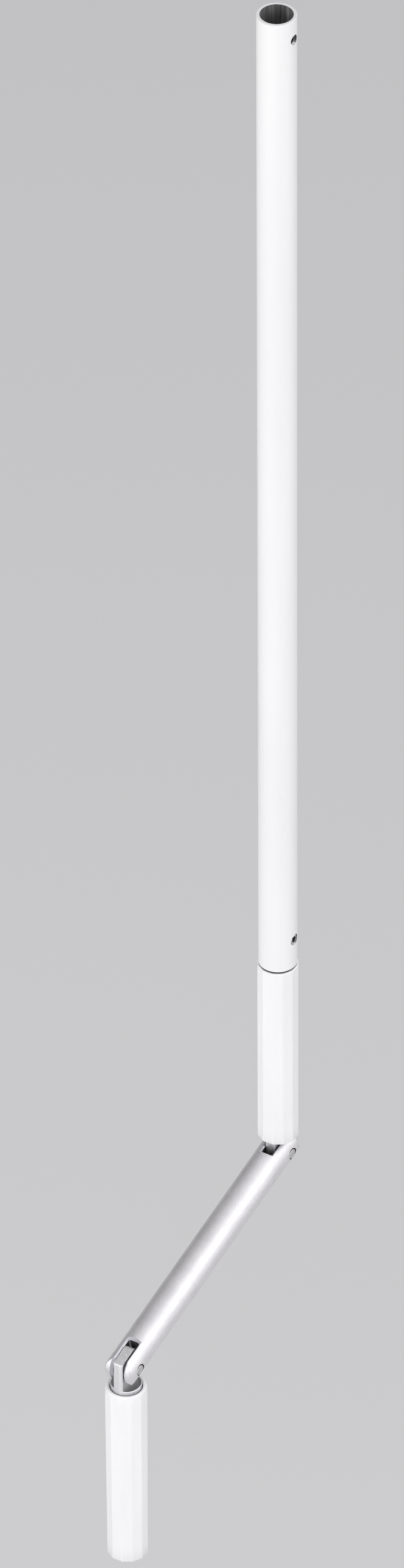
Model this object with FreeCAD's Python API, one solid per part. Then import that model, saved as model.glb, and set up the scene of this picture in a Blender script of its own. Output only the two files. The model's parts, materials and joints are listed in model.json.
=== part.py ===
import FreeCAD, Part
import math
import os

# Sizes in millimetres. Origin: centre of the tube's top end. +Z runs up the tube,
# the fold pins lie along X, and the arm swings out towards -Y.

# tube
tube_od = 15.0
tube_wall = 1.25
tube_length = 440.0
cross_hole_r = 2.05
cross_hole_drop = 8.7
spring_pin_r = 2.0
spring_pin_wall = 0.7
spring_pin_gap = 0.7
spring_pin_rise = 13.2
spring_pin_recess = 0.35
spring_hole_r = 2.3
tube_edge = 0.2
spring_pin_bevel = 0.25
spring_pin_slit_turn = 40
washer_thick = 0.5
washer_reach = 0.25
washer_bore_gap = 0.15

# spindles
spindle_r = 4.5
plug_depth = 30.0
seat_relief = 3.0
seat_step = 0.2
spigot_r = 3.0
spigot_length = 5.0
dowel_r = 1.2
dowel_inset = 0.35
plug_lead = 0.8

# grips
grip_sides = 12
grip_across_flats = 15.6
grip_mouth_flats = 16.1
grip_end_flats = 15.5
grip_bore_r = 6.45
grip_edge_round = 0.9
grip_rim_bevel = 0.4
grip_mouth_turn = 1.2
upper_grip_length = 84.0
lower_grip_length = 83.0
bush_length = 10.0
cap_depth = 5.0
cap_recess = 0.3
cap_wall = 1.6
moulded_edge = 0.4

# knuckles
collar_r = 6.05
collar_thick = 8.0
ledge_gap = 8.9
tongue_thick = 4.0
tongue_reach = 5.5
tongue_slope = 15.0
tongue_head_r = 7.1
tongue_corner = 1.5
tongue_back_corner = 2.5
tongue_back_turn = 24.0
collar_bevel = 0.25
spigot_relief = 0.2
upper_pivot_drop = 8.1
lower_pivot_rise = 10.2

# arm
arm_r = 6.6
arm_length = 116.0
arm_angle = 77.0
arm_end_round = 2.4
slot_width = 4.6
slot_depth = 7.7
slot_corner = 0.8
slot_bevel = 1.0
slot_end_share = 0.55
pin_r = 2.0
pin_half = 6.7
pin_bevel = 0.3
counterbore_r = 2.4
counterbore_x = 5.75
friction_washer_r = 4.3

# retaining screw
retainer_r = 5.6
retainer_thick = 1.2
screw_r = 2.0
screw_length = 12.0
screw_head_r = 3.5
screw_head_thick = 2.6
screw_drive_flats = 2.5
screw_drive_depth = 1.4
shaft_end_inset = 14.0

# clearances
run_gap = 0.05
seat_gap = 0.02
side_gap = 0.05
end_gap = 0.3

# worked out
tube_r = tube_od / 2
bore_r = tube_r - tube_wall
seat_r = bore_r + seat_step
tube_end_z = -tube_length
washer_end_z = tube_end_z - washer_thick
upper_grip_top = washer_end_z - end_gap
upper_grip_end = upper_grip_top - upper_grip_length
upper_pivot_z = upper_grip_end - upper_pivot_drop
lean = math.radians(arm_angle)
lower_pivot_y = -arm_length * math.sin(lean)
lower_pivot_z = upper_pivot_z - arm_length * math.cos(lean)

X = FreeCAD.Vector(1, 0, 0)
Y = FreeCAD.Vector(0, 1, 0)
Z = FreeCAD.Vector(0, 0, 1)


def point(x, y, z):
    return FreeCAD.Vector(x, y, z)


def post(r, low, high):
    """A round bar along Z."""
    return Part.makeCylinder(r, high - low, point(0, 0, low), Z)


def ring(outer, inner, low, high):
    return post(outer, low, high).cut(post(inner, low - 1, high + 1))


def cross_bar(r, low, high, z=0.0):
    """A round bar along X."""
    return Part.makeCylinder(r, high - low, point(low, 0, z), X)


def block(x0, x1, y0, y1, z0, z1):
    return Part.makeBox(x1 - x0, y1 - y0, z1 - z0, point(x0, y0, z0))


def edges_where(shape, keep):
    return [edge for edge in shape.Edges if keep(edge)]


def along(edge, direction):
    """Is this a straight edge along the direction?"""
    if edge.Curve.TypeId != "Part::GeomLine":
        return False
    return abs(abs(edge.tangentAt(edge.FirstParameter).dot(direction)) - 1) < 1e-6


def flat_face(spots):
    return Part.Face(Part.makePolygon(spots + [spots[0]]))


def frustum(low_loop, high_loop):
    """Flat-faced solid between two loops with as many corners each."""
    count = len(low_loop)
    faces = [flat_face(low_loop[::-1]), flat_face(high_loop)]
    for i in range(count):
        j = (i + 1) % count
        faces.append(flat_face([low_loop[i], low_loop[j], high_loop[j], high_loop[i]]))
    shell = Part.Shell(faces)
    shell.sewShape()
    solid = Part.Solid(shell)
    if solid.Volume < 0:
        solid.reverse()
    return solid


def flats_loop(across, z):
    """The grip's corners at one height, with a flat facing 30 degree steps."""
    corner = across / 2 / math.cos(math.pi / grip_sides)
    turns = [2 * math.pi * (i + 0.5) / grip_sides for i in range(grip_sides)]
    return [point(corner * math.cos(t), corner * math.sin(t), z) for t in turns]


def sided_bar(low_across, high_across, low, high):
    """A twelve-sided bar with rounded long edges and bevelled ends."""
    bar = frustum(flats_loop(low_across, low), flats_loop(high_across, high))
    long_edges = edges_where(bar, lambda e: e.Length > (high - low) / 2)
    bar = bar.makeFillet(grip_edge_round, long_edges)
    ends = edges_where(bar, lambda e: e.BoundBox.ZLength < 1e-3)
    return bar.makeChamfer(grip_rim_bevel, ends)


def upper_tube():
    """The socket's bore ends above the wider seat that takes the spindle's plug."""
    bar = post(tube_r, tube_end_z, 0)
    rims = edges_where(bar, lambda e: e.BoundBox.ZLength < 1e-3)
    tube = bar.makeChamfer(tube_edge, rims)
    tube = tube.cut(post(bore_r, tube_end_z - 1, 1))
    seat_top = tube_end_z + plug_depth + seat_relief
    tube = tube.cut(post(seat_r, tube_end_z - 1, seat_top))
    tube = tube.cut(cross_bar(cross_hole_r, -tube_od, tube_od, -cross_hole_drop))
    pin_z = tube_end_z + spring_pin_rise
    return tube.cut(cross_bar(spring_hole_r, -tube_od, tube_od, pin_z))


def tube_spring_pin():
    reach = tube_r - spring_pin_recess
    pin = cross_bar(spring_pin_r, -reach, reach)
    ends = edges_where(pin, lambda e: e.BoundBox.XLength < 1e-3)
    pin = pin.makeChamfer(spring_pin_bevel, ends)
    pin = pin.cut(cross_bar(spring_pin_r - spring_pin_wall, -tube_od, tube_od))
    half = spring_pin_gap / 2
    slit = block(-tube_od, tube_od, -half, half, 0, tube_od)
    slit.rotate(point(0, 0, 0), X, spring_pin_slit_turn)
    pin = pin.cut(slit)
    pin.translate(point(0, 0, tube_end_z + spring_pin_rise))
    return pin


def tube_end_washer():
    return ring(tube_r - washer_reach, spindle_r + washer_bore_gap, washer_end_z, tube_end_z)


def upper_shaft():
    collar_top = upper_pivot_z + ledge_gap + collar_thick
    shaft = post(seat_r - seat_gap, tube_end_z, tube_end_z + plug_depth)
    top = edges_where(shaft, lambda e: e.BoundBox.ZMin > tube_end_z + 1)
    shaft = shaft.makeChamfer(plug_lead, [e for e in top if e.BoundBox.ZLength < 1e-3])
    shaft = shaft.fuse(post(spindle_r, collar_top, tube_end_z))
    shaft = shaft.fuse(post(spigot_r, collar_top - spigot_length, collar_top))
    pin_z = tube_end_z + spring_pin_rise
    shaft = shaft.cut(cross_bar(spring_pin_r + seat_gap, -tube_od, tube_od, pin_z))
    dowel_z = collar_top - spigot_length / 2
    shaft = shaft.cut(cross_bar(dowel_r + seat_gap, -tube_od, tube_od, dowel_z))
    return shaft.removeSplitter()


def tongue_blade():
    """Flat blade whose head clears the slot's end and slopes down the arm's way."""
    slope = math.tan(math.radians(tongue_slope))
    crown = tongue_reach / math.cos(math.radians(tongue_slope))
    back_y = -tongue_head_r * math.sin(math.radians(tongue_back_turn))
    back_z = -tongue_head_r * math.cos(math.radians(tongue_back_turn))
    side_z = -math.sqrt(tongue_head_r ** 2 - collar_r ** 2)
    outline = [
        (collar_r, ledge_gap + 1),
        (collar_r, -crown + collar_r * slope),
        (back_y, back_z),
        (-collar_r, side_z),
        (-collar_r, ledge_gap + 1),
    ]
    half = tongue_thick / 2
    face = flat_face([point(-half, y, z) for y, z in outline])
    blade = face.extrude(point(tongue_thick, 0, 0))
    front = edges_where(blade, lambda e: along(e, X) and at_spot(e, outline[1]))
    blade = blade.makeFillet(tongue_corner, front)
    back = edges_where(blade, lambda e: along(e, X) and at_spot(e, outline[2]))
    blade = blade.makeFillet(tongue_back_corner, back)
    return blade


def at_spot(edge, spot):
    middle = edge.CenterOfMass
    return abs(middle.y - spot[0]) < 0.01 and abs(middle.z - spot[1]) < 0.01


def knuckle():
    """Round bar milled to a blade, with the pin at the origin and the collar above it."""
    top = ledge_gap + collar_thick
    collar = post(collar_r, ledge_gap, top)
    rims = edges_where(collar, lambda e: e.BoundBox.ZLength < 1e-3)
    collar = collar.makeChamfer(collar_bevel, rims)
    blade = tongue_blade().common(post(collar_r, -3 * collar_r, ledge_gap + 1))
    body = collar.fuse(blade).removeSplitter()
    body = body.cut(cross_bar(pin_r + run_gap, -tube_od, tube_od))
    body = body.cut(post(spigot_r + seat_gap, top - spigot_length - spigot_relief, top + 1))
    dowel_z = top - spigot_length / 2
    return body.cut(cross_bar(dowel_r + seat_gap, -tube_od, tube_od, dowel_z))


def shaft_dowel():
    """Cross pin of a knuckle, in the same place as knuckle()."""
    z = ledge_gap + collar_thick - spigot_length / 2
    return cross_bar(dowel_r, dowel_inset - collar_r, collar_r - dowel_inset, z)


def to_upper(shape):
    shape.translate(point(0, 0, upper_pivot_z))
    return shape


def to_lower(shape):
    """Turn a piece over and carry it to the lower pin."""
    shape.rotate(point(0, 0, 0), X, 180)
    shape.translate(point(0, lower_pivot_y, lower_pivot_z))
    return shape


def bush(low):
    body = ring(grip_bore_r - seat_gap, spindle_r + run_gap, low, low + bush_length)
    rims = edges_where(body, lambda e: e.BoundBox.ZLength < 1e-3)
    outer = [e for e in rims if e.Curve.Radius > grip_bore_r - 0.5]
    return body.makeChamfer(moulded_edge, outer)


def upper_grip():
    sleeve = sided_bar(grip_across_flats, grip_across_flats, upper_grip_end, upper_grip_top)
    return sleeve.cut(post(grip_bore_r, upper_grip_end - 1, upper_grip_top + 1))


def upper_grip_bush_top():
    return bush(upper_grip_top - end_gap - bush_length)


def upper_grip_bush_bottom():
    return bush(upper_pivot_z + ledge_gap + collar_thick + end_gap)


def slot_tool():
    """Cutter for the arm's slot at the pin at the origin, arm running up +Z."""
    half = slot_width / 2
    far = 3 * arm_r
    tool = block(-half, half, -far, far, -far, slot_depth)
    corners = edges_where(tool, lambda e: along(e, Y) and e.BoundBox.ZMin > 0)
    return tool.makeFillet(slot_corner, corners)


def slot_flare():
    """Wedges that bevel the slot's long and short edges on both sides of the arm."""
    half = slot_width / 2
    rim = math.sqrt(arm_r * arm_r - half * half)
    pieces = []
    for side in (1, -1):
        near = side * (rim - slot_bevel)
        far = side * (arm_r + 1.0)
        grow = arm_r + 1.0 - rim + slot_bevel
        bottom = bevel_loop(half, slot_depth, near)
        top = bevel_loop(half + grow, slot_depth + grow * slot_end_share, far)
        pieces.append(frustum(bottom, top))
    return pieces


def bevel_loop(half, depth, y):
    low = -3 * arm_r
    spots = [(-half, low), (half, low), (half, depth), (-half, depth)]
    return [point(x, y, z) for x, z in spots]


def ear_flare(side):
    """Ring that carries the slot's bevel round one ear's end, below the pin."""
    half = slot_width / 2
    wide = slot_bevel + 0.5
    cutter = cross_bar(arm_r + 2, half - 1, half + wide)
    inner = arm_r - slot_bevel
    cone = Part.makeCone(inner - 1, inner + wide, wide + 1, point(half - 1, 0, 0), X)
    ring_part = cutter.cut(cone)
    ring_part = ring_part.common(block(0, tube_od, -tube_od, tube_od, -tube_od, 0))
    if side < 0:
        ring_part.rotate(point(0, 0, 0), Z, 180)
    return ring_part


def crank_arm():
    """Built along +Z from the lower pin at the origin to the upper pin."""
    bar = post(arm_r, -arm_r, arm_length + arm_r)
    rims = edges_where(bar, lambda e: e.BoundBox.ZLength < 1e-3)
    bar = bar.makeFillet(arm_end_round, rims)
    width = arm_r + 1
    outline = block(-width, width, -arm_r, arm_r, 0, arm_length)
    outline = outline.fuse(cross_bar(arm_r, -width, width, 0))
    outline = outline.fuse(cross_bar(arm_r, -width, width, arm_length))
    arm = bar.common(outline.removeSplitter())
    for place, turn in ((0, 0), (arm_length, 180)):
        tools = [slot_tool()] + slot_flare() + [ear_flare(1), ear_flare(-1)]
        for tool in tools:
            tool.rotate(point(0, 0, 0), X, turn)
            tool.translate(point(0, 0, place))
            arm = arm.cut(tool)
        arm = arm.cut(cross_bar(pin_r + seat_gap, -tube_od, tube_od, place))
        arm = arm.cut(cross_bar(counterbore_r, counterbore_x, tube_od, place))
        arm = arm.cut(cross_bar(counterbore_r, -tube_od, -counterbore_x, place))
    arm.rotate(point(0, 0, 0), X, -arm_angle)
    arm.translate(point(0, lower_pivot_y, lower_pivot_z))
    return arm


def pivot_pin():
    pin = cross_bar(pin_r, -pin_half, pin_half)
    ends = edges_where(pin, lambda e: e.BoundBox.XLength < 1e-3)
    return pin.makeChamfer(pin_bevel, ends)


def friction_washers():
    """One disc on each side of the tongue."""
    near = tongue_thick / 2 + side_gap
    far = slot_width / 2 - side_gap
    discs = []
    for low, high in ((near, far), (-far, -near)):
        disc = cross_bar(friction_washer_r, low, high)
        discs.append(disc.cut(cross_bar(pin_r + run_gap, low - 1, high + 1)))
    return Part.makeCompound(discs)


# Lower handle pieces are built above their pin, like the upper ones, then turned over.
lower_mouth = lower_pivot_rise
lower_end = lower_mouth + lower_grip_length
lower_collar_top = ledge_gap + collar_thick
shaft_end = lower_end - shaft_end_inset


def lower_shaft():
    shaft = post(spindle_r, lower_collar_top, shaft_end)
    shaft = shaft.fuse(post(spigot_r, lower_collar_top - spigot_length, lower_collar_top))
    dowel_z = lower_collar_top - spigot_length / 2
    shaft = shaft.cut(cross_bar(dowel_r + seat_gap, -tube_od, tube_od, dowel_z))
    hole = post(screw_r + seat_gap, shaft_end - screw_length - 0.5, shaft_end + 1)
    return to_lower(shaft.cut(hole).removeSplitter())


def lower_grip():
    """Its mouth is turned round on the outside."""
    sleeve = sided_bar(grip_mouth_flats, grip_end_flats, lower_mouth, lower_end)
    flat_r = grip_mouth_flats / 2
    low_r = flat_r - grip_mouth_turn / 2
    cone = Part.makeCone(low_r, flat_r + grip_mouth_turn, 2 * grip_mouth_turn, point(0, 0, lower_mouth), Z)
    rest = post(tube_od, lower_mouth + 2 * grip_mouth_turn, lower_end + 1)
    sleeve = sleeve.common(cone.fuse(rest))
    return to_lower(sleeve.cut(post(grip_bore_r, lower_mouth - 1, lower_end + 1)))


def lower_grip_bush_top():
    return to_lower(bush(lower_collar_top + end_gap))


def lower_grip_bush_bottom():
    return to_lower(bush(shaft_end - end_gap - bush_length))


def lower_retaining_washer():
    disc = ring(retainer_r, screw_r + 0.1, shaft_end, shaft_end + retainer_thick)
    return to_lower(disc)


def lower_retaining_screw():
    seat = shaft_end + retainer_thick
    head = post(screw_head_r, seat, seat + screw_head_thick)
    rim = edges_where(head, lambda e: e.BoundBox.ZMin > seat + 1 and e.BoundBox.ZLength < 1e-3)
    head = head.makeChamfer(moulded_edge, rim)
    screw = head.fuse(post(screw_r, shaft_end - screw_length, seat)).removeSplitter()
    corner = screw_drive_flats / math.sqrt(3)
    turns = [math.pi * i / 3 for i in range(6)]
    top = seat + screw_head_thick + 0.1
    loop = [point(corner * math.cos(t), corner * math.sin(t), top) for t in turns]
    drive = flat_face(loop).extrude(point(0, 0, -screw_drive_depth - 0.1))
    return to_lower(screw.cut(drive))


def lower_end_cap():
    top = lower_end - cap_recess
    plug = post(grip_bore_r - seat_gap, top - cap_depth, top)
    rims = edges_where(plug, lambda e: e.BoundBox.ZLength < 1e-3)
    plug = plug.makeChamfer(moulded_edge, rims)
    hollow = post(grip_bore_r - cap_wall, top - cap_depth - 1, top - cap_wall)
    return to_lower(plug.cut(hollow))


def save(name, shape):
    if not shape.isValid():
        raise SystemExit(name + " is not a valid solid")
    shape.exportStep("parts/" + name + ".step")
    box = shape.BoundBox
    sizes = "%.1f x %.1f x %.1f" % (box.XLength, box.YLength, box.ZLength)
    print(name, len(shape.Solids), "solid,", sizes)


os.makedirs("parts", exist_ok=True)

save("upper_tube", upper_tube())
save("tube_end_washer", tube_end_washer())
save("tube_spring_pin", tube_spring_pin())
save("upper_shaft", upper_shaft())
save("upper_knuckle", to_upper(knuckle()))
save("upper_shaft_dowel", to_upper(shaft_dowel()))
save("upper_grip", upper_grip())
save("upper_grip_bush_top", upper_grip_bush_top())
save("upper_grip_bush_bottom", upper_grip_bush_bottom())
save("upper_pivot_pin", to_upper(pivot_pin()))
save("upper_friction_washers", to_upper(friction_washers()))
save("crank_arm", crank_arm())
save("lower_pivot_pin", to_lower(pivot_pin()))
save("lower_friction_washers", to_lower(friction_washers()))
save("lower_knuckle", to_lower(knuckle()))
save("lower_shaft", lower_shaft())
save("lower_shaft_dowel", to_lower(shaft_dowel()))
save("lower_grip", lower_grip())
save("lower_grip_bush_top", lower_grip_bush_top())
save("lower_grip_bush_bottom", lower_grip_bush_bottom())
save("lower_retaining_washer", lower_retaining_washer())
save("lower_retaining_screw", lower_retaining_screw())
save("lower_end_cap", lower_end_cap())
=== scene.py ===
import json
import math

import bmesh
import bpy
import numpy as np
from mathutils import Matrix, Vector


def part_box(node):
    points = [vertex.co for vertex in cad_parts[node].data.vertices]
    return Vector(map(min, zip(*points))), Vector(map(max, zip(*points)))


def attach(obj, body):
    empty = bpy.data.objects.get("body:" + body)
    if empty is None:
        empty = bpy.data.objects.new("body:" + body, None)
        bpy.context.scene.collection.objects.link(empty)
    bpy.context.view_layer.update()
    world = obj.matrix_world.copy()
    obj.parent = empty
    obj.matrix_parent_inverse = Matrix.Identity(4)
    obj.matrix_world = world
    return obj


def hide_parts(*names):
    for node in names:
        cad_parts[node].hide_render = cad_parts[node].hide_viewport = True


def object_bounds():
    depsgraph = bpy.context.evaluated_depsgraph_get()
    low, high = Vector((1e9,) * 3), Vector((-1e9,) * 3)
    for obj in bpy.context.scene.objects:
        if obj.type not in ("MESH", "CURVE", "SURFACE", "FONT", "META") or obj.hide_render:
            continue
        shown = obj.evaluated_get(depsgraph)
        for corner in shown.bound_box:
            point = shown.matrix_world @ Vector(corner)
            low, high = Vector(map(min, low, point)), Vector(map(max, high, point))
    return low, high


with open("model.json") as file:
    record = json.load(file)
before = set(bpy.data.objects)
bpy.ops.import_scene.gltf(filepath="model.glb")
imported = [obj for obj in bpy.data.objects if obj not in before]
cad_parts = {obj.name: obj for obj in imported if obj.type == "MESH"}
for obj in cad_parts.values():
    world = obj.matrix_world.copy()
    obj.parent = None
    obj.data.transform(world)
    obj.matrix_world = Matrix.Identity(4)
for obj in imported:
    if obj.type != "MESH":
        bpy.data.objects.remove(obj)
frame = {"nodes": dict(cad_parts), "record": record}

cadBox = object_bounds()
nodes = frame["nodes"]


def newMaterial(name, color, metallic, roughness, specular=0.5):
    mat = bpy.data.materials.new(name)
    mat.use_nodes = True
    tree = mat.node_tree
    shader = tree.nodes["Principled BSDF"]
    shader.inputs["Base Color"].default_value = (*color, 1)
    shader.inputs["Metallic"].default_value = metallic
    shader.inputs["Roughness"].default_value = roughness
    shader.inputs["Specular IOR Level"].default_value = specular
    return mat, tree, shader


def addNode(tree, kind, **values):
    node = tree.nodes.new(kind)
    for key, value in values.items():
        if key in node.inputs:
            node.inputs[key].default_value = value
        else:
            setattr(node, key, value)
    return node


def objectCoordinates(tree, scale, turn=(0, 0, 0), place=(0, 0, 0)):
    coordinates = addNode(tree, "ShaderNodeTexCoord")
    mapping = addNode(tree, "ShaderNodeMapping")
    mapping.inputs["Location"].default_value = place
    mapping.inputs["Rotation"].default_value = turn
    mapping.inputs["Scale"].default_value = scale
    tree.links.new(coordinates.outputs["Object"], mapping.inputs["Vector"])
    return mapping.outputs["Vector"]


def noiseOver(tree, vector, scale, detail, rough=0.5):
    noise = addNode(tree, "ShaderNodeTexNoise")
    noise.inputs["Scale"].default_value = scale
    noise.inputs["Detail"].default_value = detail
    noise.inputs["Roughness"].default_value = rough
    tree.links.new(vector, noise.inputs["Vector"])
    return noise.outputs["Fac"]


def spread(tree, value, low, high, fromLow=0.3, fromHigh=0.7):
    step = addNode(tree, "ShaderNodeMapRange")
    step.inputs["From Min"].default_value = fromLow
    step.inputs["From Max"].default_value = fromHigh
    step.inputs["To Min"].default_value = low
    step.inputs["To Max"].default_value = high
    tree.links.new(value, step.inputs["Value"])
    return step.outputs["Result"]


def shadeBetween(tree, value, dark, light, fromLow=0.3, fromHigh=0.7):
    ramp = addNode(tree, "ShaderNodeValToRGB")
    ramp.color_ramp.elements[0].position = fromLow
    ramp.color_ramp.elements[0].color = (*dark, 1)
    ramp.color_ramp.elements[1].position = fromHigh
    ramp.color_ramp.elements[1].color = (*light, 1)
    tree.links.new(value, ramp.inputs["Fac"])
    return ramp.outputs["Color"]


def bumpFrom(tree, shader, value, strength, distance, before=None):
    bump = addNode(tree, "ShaderNodeBump")
    bump.inputs["Strength"].default_value = strength
    bump.inputs["Distance"].default_value = distance
    tree.links.new(value, bump.inputs["Height"])
    if before is not None:
        tree.links.new(before, bump.inputs["Normal"])
    tree.links.new(bump.outputs["Normal"], shader.inputs["Normal"])
    return bump.outputs["Normal"]


def whitePaint():
    mat, tree, shader = newMaterial("whitePowderCoat", (0.86, 0.86, 0.865), 0, 0.32)
    peel = noiseOver(tree, objectCoordinates(tree, (1, 1, 0.55)), 900, 2)
    cloud = noiseOver(tree, objectCoordinates(tree, (1, 1, 0.12)), 60, 3)
    color = shadeBetween(tree, cloud, (0.83, 0.83, 0.84), (0.88, 0.88, 0.88))
    tree.links.new(color, shader.inputs["Base Color"])
    tree.links.new(spread(tree, cloud, 0.26, 0.38), shader.inputs["Roughness"])
    bumpFrom(tree, shader, peel, 0.12, 0.00008)
    shader.inputs["Coat Weight"].default_value = 0.25
    shader.inputs["Coat Roughness"].default_value = 0.12
    return mat


def whitePlastic():
    mat, tree, shader = newMaterial("whiteSatinPlastic", (0.87, 0.87, 0.875), 0, 0.42)
    grain = noiseOver(tree, objectCoordinates(tree, (1, 1, 1)), 2600, 3, 0.6)
    flow = noiseOver(tree, objectCoordinates(tree, (1, 1, 0.2)), 90, 3)
    color = shadeBetween(tree, flow, (0.84, 0.84, 0.85), (0.885, 0.885, 0.89))
    tree.links.new(color, shader.inputs["Base Color"])
    tree.links.new(spread(tree, flow, 0.36, 0.48), shader.inputs["Roughness"])
    bumpFrom(tree, shader, grain, 0.10, 0.00005)
    return mat


def blackPlastic():
    mat, tree, shader = newMaterial("blackWasherPlastic", (0.012, 0.012, 0.013), 0, 0.55)
    grain = noiseOver(tree, objectCoordinates(tree, (1, 1, 1)), 3000, 2)
    color = shadeBetween(tree, grain, (0.008, 0.008, 0.009), (0.02, 0.02, 0.021))
    tree.links.new(color, shader.inputs["Base Color"])
    bumpFrom(tree, shader, grain, 0.2, 0.00004)
    return mat


def satinAluminium():
    mat, tree, shader = newMaterial("satinDrawnAluminium", (0.80, 0.79, 0.80), 1, 0.5)
    lean = math.atan2(armRise, armRun)
    along = objectCoordinates(tree, (1, 0.03, 1), turn=(-lean, 0, 0))
    lines = noiseOver(tree, along, 2200, 4, 0.65)
    grains = noiseOver(tree, objectCoordinates(tree, (1, 1, 1)), 2400, 3, 0.65)
    cloud = noiseOver(tree, objectCoordinates(tree, (1, 1, 1)), 120, 3)
    speckle = addNode(tree, "ShaderNodeMix", data_type="RGBA", blend_type="MULTIPLY")
    speckle.inputs[0].default_value = 1
    tree.links.new(shadeBetween(tree, cloud, (0.86, 0.85, 0.865), (0.93, 0.92, 0.93)), speckle.inputs[6])
    tree.links.new(shadeBetween(tree, grains, (0.86, 0.86, 0.87), (1, 1, 1)), speckle.inputs[7])
    tree.links.new(speckle.outputs[2], shader.inputs["Base Color"])
    tree.links.new(spread(tree, lines, 0.44, 0.58), shader.inputs["Roughness"])
    first = bumpFrom(tree, shader, grains, 0.35, 0.00007)
    bumpFrom(tree, shader, lines, 0.18, 0.00005, first)
    return mat


def castMetal():
    mat, tree, shader = newMaterial("castTongueMetal", (0.80, 0.80, 0.81), 1, 0.46)
    pits = noiseOver(tree, objectCoordinates(tree, (1, 1, 1)), 2200, 5, 0.7)
    cloud = noiseOver(tree, objectCoordinates(tree, (1, 1, 1)), 500, 2)
    color = shadeBetween(tree, pits, (0.66, 0.66, 0.68), (0.94, 0.94, 0.95), 0.38, 0.62)
    tree.links.new(color, shader.inputs["Base Color"])
    tree.links.new(spread(tree, cloud, 0.38, 0.55), shader.inputs["Roughness"])
    bumpFrom(tree, shader, pits, 0.6, 0.00016)
    return mat


def turnedSteel(name, tone, roughness):
    mat, tree, shader = newMaterial(name, (tone, tone, tone), 1, roughness)
    lathe = noiseOver(tree, objectCoordinates(tree, (1, 0.15, 0.15)), 3500, 3)
    cloud = noiseOver(tree, objectCoordinates(tree, (1, 1, 1)), 500, 3)
    color = shadeBetween(tree, cloud, (tone * 0.88,) * 3, (tone * 1.05,) * 3)
    tree.links.new(color, shader.inputs["Base Color"])
    tree.links.new(spread(tree, lathe, roughness * 0.8, roughness * 1.3), shader.inputs["Roughness"])
    bumpFrom(tree, shader, lathe, 0.15, 0.00003)
    return mat


def darkSteel(name, tone, roughness, streak, contrast=0.5, tint=1.0):
    mat, tree, shader = newMaterial(name, (tone, tone, tone), 0.75, roughness)
    run = noiseOver(tree, objectCoordinates(tree, streak), 1400, 4, 0.6)
    dark, light = tone * (1 - contrast), tone * (1 + contrast)
    color = shadeBetween(tree, run, (dark, dark, dark * tint), (light, light, light * tint), 0.36, 0.66)
    tree.links.new(color, shader.inputs["Base Color"])
    tree.links.new(spread(tree, run, roughness * 0.8, roughness * 1.2), shader.inputs["Roughness"])
    bumpFrom(tree, shader, run, 0.25, 0.00005)
    return mat


def groundMetal():
    mat, tree, shader = newMaterial("groundTongueMetal", (0.90, 0.90, 0.905), 1, 0.40)
    lines = noiseOver(tree, objectCoordinates(tree, (1, 1, 1)), 1800, 3)
    color = shadeBetween(tree, lines, (0.88, 0.88, 0.895), (0.94, 0.94, 0.945))
    tree.links.new(color, shader.inputs["Base Color"])
    tree.links.new(spread(tree, lines, 0.34, 0.46), shader.inputs["Roughness"])
    bumpFrom(tree, shader, lines, 0.05, 0.00002)
    return mat


def bushPlastic():
    mat, tree, shader = newMaterial("bushAcetal", (0.74, 0.73, 0.68), 0, 0.4)
    cloud = noiseOver(tree, objectCoordinates(tree, (1, 1, 1)), 400, 3)
    color = shadeBetween(tree, cloud, (0.70, 0.69, 0.64), (0.78, 0.77, 0.72))
    tree.links.new(color, shader.inputs["Base Color"])
    bumpFrom(tree, shader, cloud, 0.1, 0.00005)
    return mat


# the arm's line, from the pins' places
upperPin = (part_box("upper_pivot_pin")[0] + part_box("upper_pivot_pin")[1]) / 2
lowerPin = (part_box("lower_pivot_pin")[0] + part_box("lower_pivot_pin")[1]) / 2
armRun = upperPin.y - lowerPin.y
armRise = upperPin.z - lowerPin.z

materials = {
    "white_paint": whitePaint(),
    "white_plastic": whitePlastic(),
    "black_plastic": blackPlastic(),
    "bare_aluminium": satinAluminium(),
    "cast_metal": castMetal(),
    "pin_steel": turnedSteel("brightPinSteel", 0.70, 0.26),
    "shaft_steel": turnedSteel("platedShaftSteel", 0.66, 0.35),
    "bush_plastic": bushPlastic(),
}
boreSteel = darkSteel("drawnBoreSteel", 0.42, 0.36, (1, 1, 0.02), 0.45)
# painted shade: near-black metal for the slot walls, slot ends and pin seats
slotShade = darkSteel("milledSlotMetal", 0.10, 0.5, (3, 3, 3))
# turned ledge metal, darkened further with painted shade where the arm shadows it
ledgeWithPaintedShade = darkSteel("machinedLedgeMetal", 0.24, 0.36, (3, 3, 3), 0.2)
# slot bevel metal darkened with painted shade and tinted lilac as a painted reflection
bevelPaintedShade = darkSteel("bevelledSlotEdge", 0.50, 0.34, (4, 4, 4), 0.12, 1.07)
tongueFront = groundMetal()
slotOf = {row["node"]: row["material_slot"] for row in frame["record"]["subparts"]}
bodyOf = {n: b for b, group in frame["record"]["behaviour"]["bodies"].items() for n in group}
print("materials made")


def smoothCopy(node, name, angle=28):
    mesh = nodes[node].data.copy()
    mesh.materials.clear()
    piece = bpy.data.objects.new(name, mesh)
    bpy.context.scene.collection.objects.link(piece)
    work = bmesh.new()
    work.from_mesh(mesh)
    bmesh.ops.remove_doubles(work, verts=work.verts, dist=1e-6)
    work.to_mesh(mesh)
    work.free()
    if mesh.has_custom_normals:
        with bpy.context.temp_override(object=piece, active_object=piece):
            bpy.ops.mesh.customdata_custom_splitnormals_clear()
    mesh.polygons.foreach_set("use_smooth", np.ones(len(mesh.polygons), bool))
    mesh.set_sharp_from_angle(angle=math.radians(angle))
    mesh.materials.append(materials[slotOf[node]])
    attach(piece, bodyOf[node])
    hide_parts(node)
    return piece


# each face's middle in millimetres, and the way it points
def faceRows(piece):
    mesh = piece.data
    middles = np.empty(len(mesh.polygons) * 3)
    normals = np.empty(len(mesh.polygons) * 3)
    mesh.polygons.foreach_get("center", middles)
    mesh.polygons.foreach_get("normal", normals)
    return middles.reshape(-1, 3) * 1000, normals.reshape(-1, 3)


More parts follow.
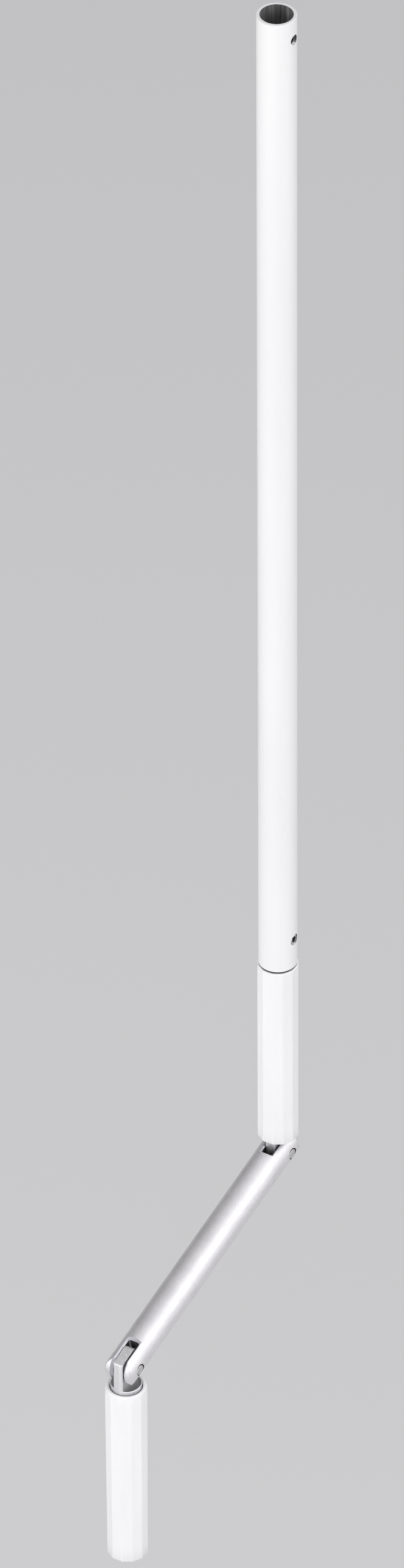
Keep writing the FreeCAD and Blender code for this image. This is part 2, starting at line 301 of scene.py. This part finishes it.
def finishFaces(piece, material, chosen):
    piece.data.materials.append(material)
    index = np.empty(len(piece.data.polygons), np.int32)
    piece.data.polygons.foreach_get("material_index", index)
    index[chosen] = len(piece.data.materials) - 1
    piece.data.polygons.foreach_set("material_index", index)


def camel(node):
    words = node.split("_")
    return words[0] + "".join(w.capitalize() for w in words[1:])


made = {}
built = {"upper_grip", "lower_grip", "upper_pivot_pin", "lower_pivot_pin"}
for node in sorted(set(nodes) - built):
    made[node] = smoothCopy(node, camel(node))

# the tube's bore is bare steel inside the paint
middles, normals = faceRows(made["upper_tube"])
reach = np.hypot(middles[:, 0], middles[:, 1])
outward = (middles[:, :2] * normals[:, :2]).sum(1) / reach
bare = (outward < 0.3) & (np.abs(normals[:, 2]) < 0.9)
finishFaces(made["upper_tube"], boreSteel, bare)

# the arm's slots and pin seats get painted shade: their faces are coloured near black, as the shade in them
arm = {"slotHalf": 2.3, "seatR": 2.4, "seatFloor": 5.75, "r": 6.6, "slack": 0.05,
       "bevelReach": 1.5, "endBevelFrom": 7, "endBevelTo": 10, "skin": 0.12}
middles, normals = faceRows(made["crank_arm"])
way = np.array([0, armRun, armRise]) / math.hypot(armRun, armRise)
endways = np.abs(normals @ way)
sideways = np.abs(normals[:, 0])
across = np.abs(middles[:, 0])
wall = (np.abs(across - arm["slotHalf"]) < arm["slack"]) & (sideways > 0.98)
endWall = (across < arm["slotHalf"]) & (endways > 0.9)
beside = (across > arm["slotHalf"] - arm["slack"]) & (across < arm["slotHalf"] + arm["bevelReach"])
bevel = beside & (sideways > 0.2) & (sideways < 0.95)
lowered = np.zeros(len(middles), bool)
for pin in (upperPin, lowerPin):
    place = np.array(pin) * 1000
    fromPin = np.hypot(middles[:, 1] - place[1], middles[:, 2] - place[2])
    lowered |= (fromPin < arm["seatR"] + 0.1) & (across > arm["seatFloor"] - 0.2)
axis = np.array(lowerPin) * 1000
apart = middles - axis
fromAxis = np.linalg.norm(apart - np.outer(apart @ way, way), axis=1)
inside = fromAxis < arm["r"] - arm["skin"]
run = apart @ way
inward = np.minimum(run, math.hypot(armRun, armRise) * 1000 - run)
endBevel = (across < arm["slotHalf"] + 1) & (endways > 0.2) & (inward > arm["endBevelFrom"])
endBevel &= inward < arm["endBevelTo"]
# the faces that take the near-black painted shade
paintedShadeFaces = wall | endWall | lowered
finishFaces(made["crank_arm"], slotShade, paintedShadeFaces)
# the slot bevels and end bevels get the painted shade and lilac painted reflection, so they read darker
# than the arm
finishFaces(made["crank_arm"], bevelPaintedShade, inside & (bevel | endBevel) & ~paintedShadeFaces)

# the knuckles: rough as cast on the slope, ground on the front, turned on the ledge, and the ledge painted
# dark grey as painted shade from the arm's shadow
ledgeStart = 8.8
for node, pin, ledgeSide in (("upper_knuckle", upperPin, 1), ("lower_knuckle", lowerPin, -1)):
    middles, normals = faceRows(made[node])
    fromPin = (middles[:, 2] - pin.z * 1000) * ledgeSide
    upright = np.abs(normals[:, 2])
    finishFaces(made[node], tongueFront, (fromPin < ledgeStart) & (upright < 0.3))
    finishFaces(made[node], ledgeWithPaintedShade, (fromPin > ledgeStart) & (upright > 0.9))
print("frame pieces finished")


# a grid of rings becomes a closed skin: the last ring joins the first one
def closedTurn(name, node, grid, material):
    rows, columns = grid.shape[:2]
    mesh = bpy.data.meshes.new(name)
    i, j = np.meshgrid(np.arange(rows), np.arange(columns), indexing="ij")
    nextRow, nextColumn = (i + 1) % rows, (j + 1) % columns
    faces = np.stack([i * columns + j, i * columns + nextColumn,
                      nextRow * columns + nextColumn, nextRow * columns + j], -1).reshape(-1, 4)
    mesh.from_pydata((grid.reshape(-1, 3) / 1000).tolist(), [], faces.tolist())
    mesh.update()
    work = bmesh.new()
    work.from_mesh(mesh)
    bmesh.ops.remove_doubles(work, verts=work.verts, dist=1e-7)
    bmesh.ops.recalc_face_normals(work, faces=work.faces)
    work.to_mesh(mesh)
    work.free()
    mesh.polygons.foreach_set("use_smooth", np.ones(len(mesh.polygons), bool))
    mesh.set_sharp_from_angle(angle=math.radians(33))
    piece = bpy.data.objects.new(name, mesh)
    bpy.context.scene.collection.objects.link(piece)
    mesh.materials.append(material)
    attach(piece, bodyOf[node])
    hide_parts(node)
    return piece


# Distance from the axis to a many-sided section with rounded corners: on a flat it is
# halfFlats / cos(angle from the flat's middle), and past the point where the corner's
# arc begins it is the far crossing with that arc's circle.
def roundedSides(halfFlats, turn, sides, cornerRound):
    half = math.pi / sides
    lean = np.abs((turn + half) % (2 * half) - half)
    centre = (halfFlats - cornerRound) / math.cos(half)
    start = math.atan((halfFlats - cornerRound) * math.tan(half) / halfFlats)
    off = half - lean
    arc = centre * np.cos(off) + np.sqrt(cornerRound ** 2 - (centre * np.sin(off)) ** 2)
    return np.where(lean < start, halfFlats / np.cos(lean), arc)


# a quarter ellipse between two profile spots: reach goes with sine, height with 1 - cosine
def quarter(fromSpot, toSpot, count=6):
    t = np.linspace(0, math.pi / 2, count)
    a, b = np.array(fromSpot), np.array(toSpot)
    return np.stack([a[0] + (b[0] - a[0]) * np.sin(t), a[1] + (b[1] - a[1]) * (1 - np.cos(t))], -1)


# Sleeve about a vertical axis: each profile spot (reach, height, roundness) makes a ring
# whose section slides from the sided shape at roundness 0 to a circle at 1.
def sidedGrip(node, sizes):
    low, high = [c * 1000 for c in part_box(node)]
    top, end = high.z, low.z
    middle = (low + high) / 2
    bore, topFlats, endFlats = sizes["bore"], sizes["topFlats"] / 2, sizes["endFlats"] / 2
    spots = []

    def add(rows, roundness):
        spots.extend([(r, z, roundness) for r, z in rows])

    e = sizes["rimEdge"]
    if sizes["turnedMouth"]:
        t = sizes["mouthTurn"]
        add([(bore, end + 20), (bore, top - 0.4)], 1)
        add(quarter((bore, top - 0.4), (bore + 0.4, top)), 1)
        add(quarter((topFlats - t * 0.75, top), (topFlats - 0.12, top - t), 9), 1)
        for k in np.linspace(0, 1, 9)[1:]:
            spots.append((topFlats - 0.12 * (1 - k), top - t - 2.2 * k, 1 - k * k * (3 - 2 * k)))
    else:
        add([(bore, end + 20), (bore, top - 0.25), (bore + 0.25, top)], 1)
        add([(topFlats - e, top), (topFlats, top - e)], 0)
    for k in np.linspace(0, 1, 14)[1:-1]:
        z = top - 4 + (end + e - top + 4) * k
        spots.append((topFlats + (endFlats - topFlats) * k, z, 0))
    add([(endFlats, end + e), (endFlats - e * 0.45, end + e * 0.3), (endFlats - e, end)], 0)
    add([(bore + 0.3, end), (bore, end + 0.3)], 1)
    rows = np.array(spots)
    half = math.pi / sizes["sides"]
    start = math.atan((topFlats - sizes["cornerRound"]) * math.tan(half) / topFlats)
    oneSide = np.concatenate([np.linspace(-start, start, 7), np.linspace(start, 2 * half - start, 6)[1:-1]])
    turn = (np.arange(sizes["sides"])[:, None] * 2 * half + oneSide[None, :]).ravel()
    unit = roundedSides(1.0, turn, sizes["sides"], sizes["cornerRound"] / topFlats)
    reach = rows[:, 0:1] * (rows[:, 2:3] + (1 - rows[:, 2:3]) * unit[None, :])
    grid = np.stack([middle.x + reach * np.cos(turn), middle.y + reach * np.sin(turn),
                     np.broadcast_to(rows[:, 1:2], reach.shape)], -1)
    return closedTurn(camel(node), node, grid, materials["white_plastic"])


gripSizes = {"sides": 12, "bore": 6.45, "topFlats": 15.6, "endFlats": 15.6, "cornerRound": 0.9,
             "rimEdge": 0.4, "mouthTurn": 1.0, "turnedMouth": False}
sidedGrip("upper_grip", gripSizes)
sidedGrip("lower_grip", {**gripSizes, "topFlats": 16.1, "endFlats": 15.5, "turnedMouth": True})


# A pin across the arm: its profile is a shallow cap, end - dome * share squared, then a
# quarter ellipse over the rim, mirrored at the other end and turned about the X axis.
def domedPin(node, sizes):
    low, high = [c * 1000 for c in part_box(node)]
    middle = (low + high) / 2
    r, dome, edge = sizes["r"], sizes["dome"], sizes["edge"]
    share = np.linspace(0, 1, 8)
    cap = np.stack([share * (r - edge), high.x - dome * share ** 2], -1)
    rim = quarter((r - edge, high.x - dome), (r, high.x - dome - edge), 5)[1:]
    side = np.concatenate([cap, rim])
    other = side[::-1] * np.array([1, -1]) + np.array([0, low.x + high.x])
    rows = np.concatenate([side, other])
    turn = np.linspace(0, 2 * math.pi, sizes["around"], endpoint=False)
    reach = rows[:, 0:1]
    grid = np.stack([np.broadcast_to(rows[:, 1:2], (len(rows), sizes["around"])),
                     middle.y + reach * np.cos(turn), middle.z + reach * np.sin(turn)], -1)
    return closedTurn(camel(node), node, grid, materials["pin_steel"])


pinSizes = {"r": 2.0, "dome": 0.22, "edge": 0.22, "around": 72}
domedPin("upper_pivot_pin", pinSizes)
domedPin("lower_pivot_pin", pinSizes)
print("grips and pins made")


view = {"azimuth": 31.24, "elevation": 38.26, "distance": 5.5, "roll": -0.31,
        "aimRight": -0.0285, "aimHeight": -0.3544, "lens": 335.2, "sensor": 36.0}


def makeCamera():
    a, e = math.radians(view["azimuth"]), math.radians(view["elevation"])
    back = Vector((math.sin(a) * math.cos(e), -math.cos(a) * math.cos(e), math.sin(e)))
    right = Vector((math.cos(a), math.sin(a), 0))
    aim = right * view["aimRight"] + Vector((0, 0, view["aimHeight"]))
    data = bpy.data.cameras.new("camera")
    data.sensor_fit = "AUTO"
    data.sensor_width = view["sensor"]
    data.lens = view["lens"]
    data.clip_end = 100
    camera = bpy.data.objects.new("camera", data)
    bpy.context.scene.collection.objects.link(camera)
    up = back.cross(right)
    turn = Matrix((right, up, back)).transposed() @ Matrix.Rotation(math.radians(view["roll"]), 3, "Z")
    camera.matrix_world = Matrix.Translation(aim + back * view["distance"]) @ turn.to_4x4()
    bpy.context.scene.camera = camera


def areaLamp(name, place, aim, size, power, color=(1, 1, 1)):
    data = bpy.data.lights.new(name, "AREA")
    data.shape = "RECTANGLE"
    data.size, data.size_y = size
    data.energy = power
    data.color = color
    lamp = bpy.data.objects.new(name, data)
    bpy.context.scene.collection.objects.link(lamp)
    lamp.location = place
    lamp.visible_camera = False
    lamp.rotation_mode = "QUATERNION"
    lamp.rotation_quaternion = (Vector(place) - Vector(aim)).to_track_quat("Z", "Y")
    return lamp


floorSizes = {"below": 0.12, "half": 40.0}


def makeFloor():
    low = cadBox[0].z - floorSizes["below"]
    half = floorSizes["half"]
    mesh = bpy.data.meshes.new("studioFloor")
    mesh.from_pydata([(-half, -half, low), (half, -half, low), (half, half, low), (-half, half, low)],
                     [], [(0, 1, 2, 3)])
    floor = bpy.data.objects.new("studioFloor", mesh)
    bpy.context.scene.collection.objects.link(floor)
    mesh.materials.append(newMaterial("paleFloor", (0.66, 0.66, 0.665), 0, 0.9, 0.1)[0])


def makeWorld():
    world = bpy.data.worlds.new("studio")
    world.use_nodes = True
    tree = world.node_tree
    sky = tree.nodes["Background"]
    sky.inputs["Color"].default_value = (0.975, 0.965, 0.98, 1)
    way = addNode(tree, "ShaderNodeTexCoord")
    dot = tree.nodes.new("ShaderNodeVectorMath")
    dot.operation = "DOT_PRODUCT"
    dot.inputs[1].default_value = (0.87, 0.0, 0.49)
    tree.links.new(way.outputs["Generated"], dot.inputs[0])
    tree.links.new(spread(tree, dot.outputs["Value"], 0.17, 0.92, -0.75, 0.80), sky.inputs["Strength"])
    bpy.context.scene.world = world


makeCamera()
makeFloor()
makeWorld()
centre = (cadBox[0] + cadBox[1]) / 2
areaLamp("keyLamp", (1.8, 0.6, 1.1), centre, (2.2, 2.2), 13)
areaLamp("frontLamp", (0.3, -2.3, 0.1), centre, (1.6, 1.6), 24)
areaLamp("sideLamp", (-1.7, -1.3, 0.0), centre, (1.2, 1.4), 9)
scene = bpy.context.scene
scene.view_settings.view_transform = "Standard"
print("stage made")
